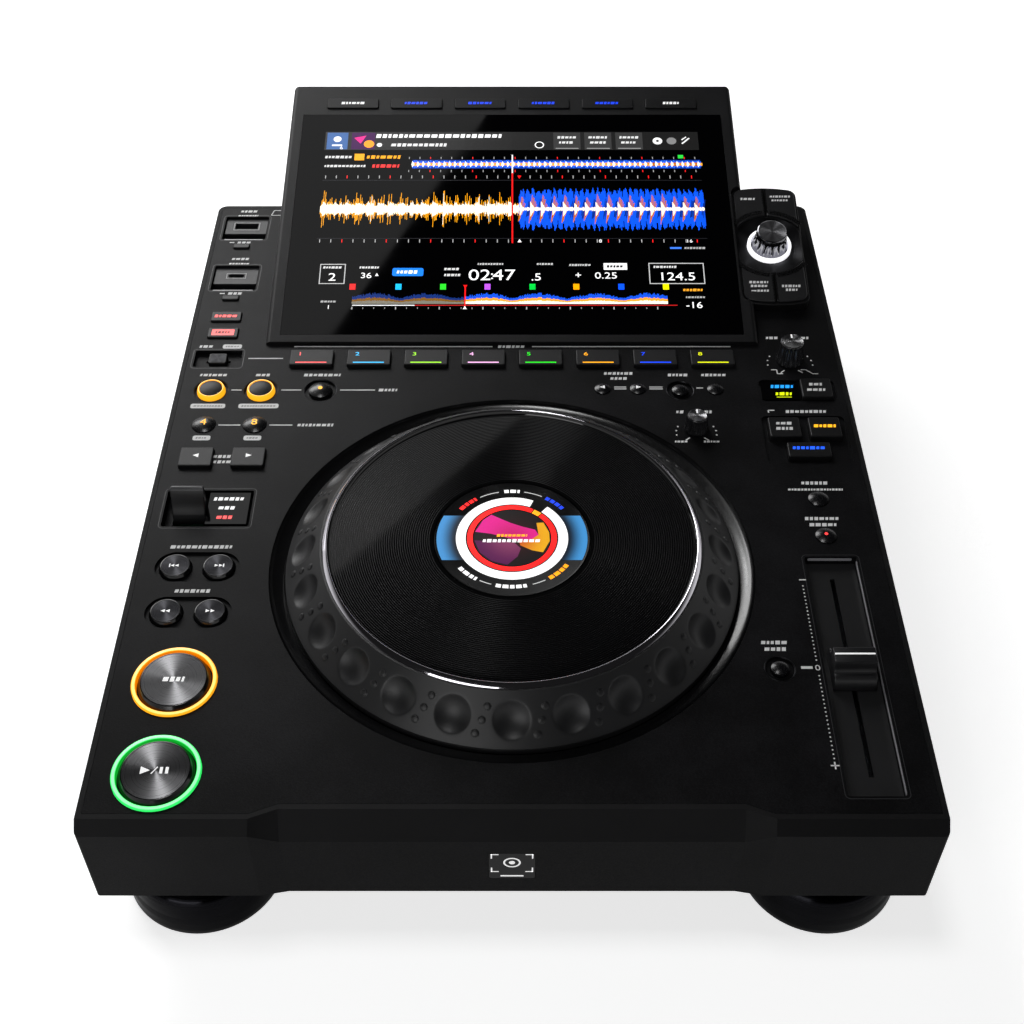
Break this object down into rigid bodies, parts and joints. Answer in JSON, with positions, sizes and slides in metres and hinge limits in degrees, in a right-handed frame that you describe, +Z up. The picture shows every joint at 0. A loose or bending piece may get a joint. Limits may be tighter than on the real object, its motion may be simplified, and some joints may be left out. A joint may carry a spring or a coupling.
{
  "type": "tabletop dj media player",
  "caption": "Tabletop DJ media player: jog wheel, tilted touch display, transport keys, cue pads, tempo fader, knobs, USB ports and round feet.",
  "frame": {"origin": "on the table, under the middle of the whole player", "axes": "+Z up, +X to the user's right, -Y towards the user: the play key side faces -Y and the display is at +Y"},
  "size_m": [0.329, 0.4666, 0.1195],
  "materials": {
    "case_plastic": "fine-textured satin black",
    "deck_finish": "fine-textured satin black",
    "chassis_paint": "black powder coat",
    "foot_metal": "turned, black anodised",
    "cover_glass": "black-backed cover glass",
    "dark_plastic": "plain",
    "gloss_black": "polished black",
    "bare_steel": "bare",
    "light_guide": "clear light guide",
    "board": "solder-masked board",
    "plated_metal": "plated",
    "jog_plastic": "matt black",
    "jog_metal": "turned, black anodised",
    "clear_chrome": "dark chrome",
    "knob_metal": "spun, black anodised",
    "key_plastic": "satin black",
    "key_metal": "spun",
    "key_gloss": "satin black, domed"
  },
  "bodies": {
    "root": {"body_shell": "case_plastic", "top_panel": "deck_finish", "bottom_chassis": "chassis_paint", "feet": "foot_metal", "display_housing": "case_plastic", "display_glass": "cover_glass", "lcd_panel": "dark_plastic", "encoder_pod": "gloss_black", "jog_bearing": "bare_steel", "jog_display": "gloss_black", "light_rings": "light_guide", "gloss_windows": "gloss_black", "fader_rail": "bare_steel", "circuit_boards": "board", "connectors": "plated_metal", "screws": "bare_steel"},
    "jog_wheel": {"jog_ring": "jog_plastic", "jog_top_plate": "jog_metal"},
    "encoder_shaft": {"encoder_shaft": "bare_steel"},
    "encoder_knob": {"encoder_knob": "clear_chrome"},
    "brake_speed_knob": {"brake_speed_knob": "knob_metal"},
    "jog_weight_knob": {"jog_weight_knob": "knob_metal"},
    "tempo_fader_cap": {"tempo_fader_cap": "key_plastic"},
    "direction_lever": {"direction_lever": "key_plastic"},
    "call_toggle": {"call_toggle": "key_metal"},
    "cue_button": {"cue_button": "key_metal"},
    "play_button": {"play_button": "key_metal"},
    "track_back_button": {"track_back_button": "key_metal"},
    "track_forward_button": {"track_forward_button": "key_metal"},
    "search_back_button": {"search_back_button": "key_metal"},
    "search_forward_button": {"search_forward_button": "key_metal"},
    "loop_in_button": {"loop_in_button": "key_gloss"},
    "loop_out_button": {"loop_out_button": "key_gloss"},
    "reloop_button": {"reloop_button": "key_gloss"},
    "beat_4_button": {"beat_4_button": "key_gloss"},
    "beat_8_button": {"beat_8_button": "key_gloss"},
    "delete_button": {"delete_button": "key_gloss"},
    "memory_button": {"memory_button": "key_gloss"},
    "range_button": {"range_button": "key_gloss"},
    "hold_button": {"hold_button": "key_gloss"},
    "reset_button": {"reset_button": "key_gloss"},
    "call_keys": {"call_keys": "key_gloss"},
    "side_keys": {"side_keys": "key_plastic"},
    "display_keys": {"display_keys": "key_plastic"},
    "pod_keys": {"pod_keys": "key_plastic"},
    "power_button": {"power_button": "key_plastic"},
    "jump_back_button": {"jump_back_button": "key_plastic"},
    "jump_forward_button": {"jump_forward_button": "key_plastic"},
    "jog_mode_button": {"jog_mode_button": "key_plastic"},
    "sync_button": {"sync_button": "key_plastic"},
    "master_button": {"master_button": "key_plastic"},
    "key_button": {"key_button": "key_plastic"},
    "hot_pad_1": {"hot_pad_1": "key_plastic"},
    "hot_pad_2": {"hot_pad_2": "key_plastic"},
    "hot_pad_3": {"hot_pad_3": "key_plastic"},
    "hot_pad_4": {"hot_pad_4": "key_plastic"},
    "hot_pad_5": {"hot_pad_5": "key_plastic"},
    "hot_pad_6": {"hot_pad_6": "key_plastic"},
    "hot_pad_7": {"hot_pad_7": "key_plastic"},
    "hot_pad_8": {"hot_pad_8": "key_plastic"}
  },
  "joints": [
    {"name": "jog_wheel_spin", "type": "hinge", "parent": "root", "child": "jog_wheel", "pos_m": [0, -0.09788, 0.08], "axis": [0, 0, 1], "continuous": true},
    {"name": "encoder_shaft_press", "type": "slide", "parent": "root", "child": "encoder_shaft", "axis": [0, -0.2011, 0.9796], "range_m": [-0.0006, 0], "stiffness_N_per_m": 1500, "springref_m": 0.0004},
    {"name": "encoder_knob_turn", "type": "hinge", "parent": "encoder_shaft", "child": "encoder_knob", "pos_m": [0.1365, 0.11617, 0.09334], "axis": [0, -0.2011, 0.9796], "continuous": true},
    {"name": "brake_speed_knob_turn", "type": "hinge", "parent": "root", "child": "brake_speed_knob", "pos_m": [0.1386, 0.03752, 0.08], "axis": [0, 0, 1], "range_deg": [-140, 140]},
    {"name": "jog_weight_knob_turn", "type": "hinge", "parent": "root", "child": "jog_weight_knob", "pos_m": [0.0876, -0.01298, 0.08], "axis": [0, 0, 1], "range_deg": [-140, 140]},
    {"name": "tempo_fader_slide", "type": "slide", "parent": "root", "child": "tempo_fader_cap", "axis": [0, 1, 0], "range_m": [-0.048, 0.048]},
    {"name": "direction_lever_tilt", "type": "hinge", "parent": "root", "child": "direction_lever", "pos_m": [-0.1456, -0.06578, 0.0684], "axis": [1, 0, 0], "range_deg": [-11, 11]},
    {"name": "call_toggle_slide", "type": "slide", "parent": "root", "child": "call_toggle", "axis": [1, 0, 0], "range_m": [-0.004, 0.004], "stiffness_N_per_m": 300},
    {"name": "power_button_press", "type": "slide", "parent": "root", "child": "power_button", "axis": [0, -1, 0], "range_m": [0, 0.0025], "stiffness_N_per_m": 500, "springref_m": -0.0004},
    {"name": "display_keys_press", "type": "slide", "parent": "root", "child": "display_keys", "axis": [0, -0.2011, 0.9796], "range_m": [-0.0006, 0], "stiffness_N_per_m": 900, "springref_m": 0.0004},
    {"name": "pod_keys_press", "type": "slide", "parent": "root", "child": "pod_keys", "axis": [0, -0.2011, 0.9796], "range_m": [-0.0005, 0], "stiffness_N_per_m": 900, "springref_m": 0.0004},
    {"name": "cue_button_press", "type": "slide", "parent": "root", "child": "cue_button", "axis": [0, 0, 1], "range_m": [-0.0015, 0], "stiffness_N_per_m": 900, "springref_m": 0.0004},
    {"name": "play_button_press", "type": "slide", "parent": "root", "child": "play_button", "axis": [0, 0, 1], "range_m": [-0.0015, 0], "stiffness_N_per_m": 900, "springref_m": 0.0004},
    {"name": "track_back_button_press", "type": "slide", "parent": "root", "child": "track_back_button", "axis": [0, 0, 1], "range_m": [-0.001, 0], "stiffness_N_per_m": 600, "springref_m": 0.0004},
    {"name": "track_forward_button_press", "type": "slide", "parent": "root", "child": "track_forward_button", "axis": [0, 0, 1], "range_m": [-0.001, 0], "stiffness_N_per_m": 600, "springref_m": 0.0004},
    {"name": "search_back_button_press", "type": "slide", "parent": "root", "child": "search_back_button", "axis": [0, 0, 1], "range_m": [-0.001, 0], "stiffness_N_per_m": 600, "springref_m": 0.0004},
    {"name": "search_forward_button_press", "type": "slide", "parent": "root", "child": "search_forward_button", "axis": [0, 0, 1], "range_m": [-0.001, 0], "stiffness_N_per_m": 600, "springref_m": 0.0004},
    {"name": "loop_in_button_press", "type": "slide", "parent": "root", "child": "loop_in_button", "axis": [0, 0, 1], "range_m": [-0.001, 0], "stiffness_N_per_m": 600, "springref_m": 0.0004},
    {"name": "loop_out_button_press", "type": "slide", "parent": "root", "child": "loop_out_button", "axis": [0, 0, 1], "range_m": [-0.001, 0], "stiffness_N_per_m": 600, "springref_m": 0.0004},
    {"name": "reloop_button_press", "type": "slide", "parent": "root", "child": "reloop_button", "axis": [0, 0, 1], "range_m": [-0.001, 0], "stiffness_N_per_m": 600, "springref_m": 0.0004},
    {"name": "beat_4_button_press", "type": "slide", "parent": "root", "child": "beat_4_button", "axis": [0, 0, 1], "range_m": [-0.001, 0], "stiffness_N_per_m": 600, "springref_m": 0.0004},
    {"name": "beat_8_button_press", "type": "slide", "parent": "root", "child": "beat_8_button", "axis": [0, 0, 1], "range_m": [-0.001, 0], "stiffness_N_per_m": 600, "springref_m": 0.0004},
    {"name": "delete_button_press", "type": "slide", "parent": "root", "child": "delete_button", "axis": [0, 0, 1], "range_m": [-0.001, 0], "stiffness_N_per_m": 600, "springref_m": 0.0004},
    {"name": "memory_button_press", "type": "slide", "parent": "root", "child": "memory_button", "axis": [0, 0, 1], "range_m": [-0.001, 0], "stiffness_N_per_m": 600, "springref_m": 0.0004},
    {"name": "range_button_press", "type": "slide", "parent": "root", "child": "range_button", "axis": [0, 0, 1], "range_m": [-0.001, 0], "stiffness_N_per_m": 600, "springref_m": 0.0004},
    {"name": "hold_button_press", "type": "slide", "parent": "root", "child": "hold_button", "axis": [0, 0, 1], "range_m": [-0.001, 0], "stiffness_N_per_m": 600, "springref_m": 0.0004},
    {"name": "reset_button_press", "type": "slide", "parent": "root", "child": "reset_button", "axis": [0, 0, 1], "range_m": [-0.001, 0], "stiffness_N_per_m": 600, "springref_m": 0.0004},
    {"name": "call_keys_press", "type": "slide", "parent": "root", "child": "call_keys", "axis": [0, 0, 1], "range_m": [-0.001, 0], "stiffness_N_per_m": 600, "springref_m": 0.0004},
    {"name": "side_keys_press", "type": "slide", "parent": "root", "child": "side_keys", "axis": [0, 0, 1], "range_m": [-0.0008, 0], "stiffness_N_per_m": 600, "springref_m": 0.0004},
    {"name": "jump_back_button_press", "type": "slide", "parent": "root", "child": "jump_back_button", "axis": [0, 0, 1], "range_m": [-0.001, 0], "stiffness_N_per_m": 600, "springref_m": 0.0004},
    {"name": "jump_forward_button_press", "type": "slide", "parent": "root", "child": "jump_forward_button", "axis": [0, 0, 1], "range_m": [-0.001, 0], "stiffness_N_per_m": 600, "springref_m": 0.0004},
    {"name": "jog_mode_button_press", "type": "slide", "parent": "root", "child": "jog_mode_button", "axis": [0, 0, 1], "range_m": [-0.001, 0], "stiffness_N_per_m": 600, "springref_m": 0.0004},
    {"name": "sync_button_press", "type": "slide", "parent": "root", "child": "sync_button", "axis": [0, 0, 1], "range_m": [-0.001, 0], "stiffness_N_per_m": 600, "springref_m": 0.0004},
    {"name": "master_button_press", "type": "slide", "parent": "root", "child": "master_button", "axis": [0, 0, 1], "range_m": [-0.001, 0], "stiffness_N_per_m": 600, "springref_m": 0.0004},
    {"name": "key_button_press", "type": "slide", "parent": "root", "child": "key_button", "axis": [0, 0, 1], "range_m": [-0.001, 0], "stiffness_N_per_m": 600, "springref_m": 0.0004},
    {"name": "hot_pad_1_press", "type": "slide", "parent": "root", "child": "hot_pad_1", "axis": [0, 0, 1], "range_m": [-0.001, 0], "stiffness_N_per_m": 600, "springref_m": 0.0004},
    {"name": "hot_pad_2_press", "type": "slide", "parent": "root", "child": "hot_pad_2", "axis": [0, 0, 1], "range_m": [-0.001, 0], "stiffness_N_per_m": 600, "springref_m": 0.0004},
    {"name": "hot_pad_3_press", "type": "slide", "parent": "root", "child": "hot_pad_3", "axis": [0, 0, 1], "range_m": [-0.001, 0], "stiffness_N_per_m": 600, "springref_m": 0.0004},
    {"name": "hot_pad_4_press", "type": "slide", "parent": "root", "child": "hot_pad_4", "axis": [0, 0, 1], "range_m": [-0.001, 0], "stiffness_N_per_m": 600, "springref_m": 0.0004},
    {"name": "hot_pad_5_press", "type": "slide", "parent": "root", "child": "hot_pad_5", "axis": [0, 0, 1], "range_m": [-0.001, 0], "stiffness_N_per_m": 600, "springref_m": 0.0004},
    {"name": "hot_pad_6_press", "type": "slide", "parent": "root", "child": "hot_pad_6", "axis": [0, 0, 1], "range_m": [-0.001, 0], "stiffness_N_per_m": 600, "springref_m": 0.0004},
    {"name": "hot_pad_7_press", "type": "slide", "parent": "root", "child": "hot_pad_7", "axis": [0, 0, 1], "range_m": [-0.001, 0], "stiffness_N_per_m": 600, "springref_m": 0.0004},
    {"name": "hot_pad_8_press", "type": "slide", "parent": "root", "child": "hot_pad_8", "axis": [0, 0, 1], "range_m": [-0.001, 0], "stiffness_N_per_m": 600, "springref_m": 0.0004}
  ]
}
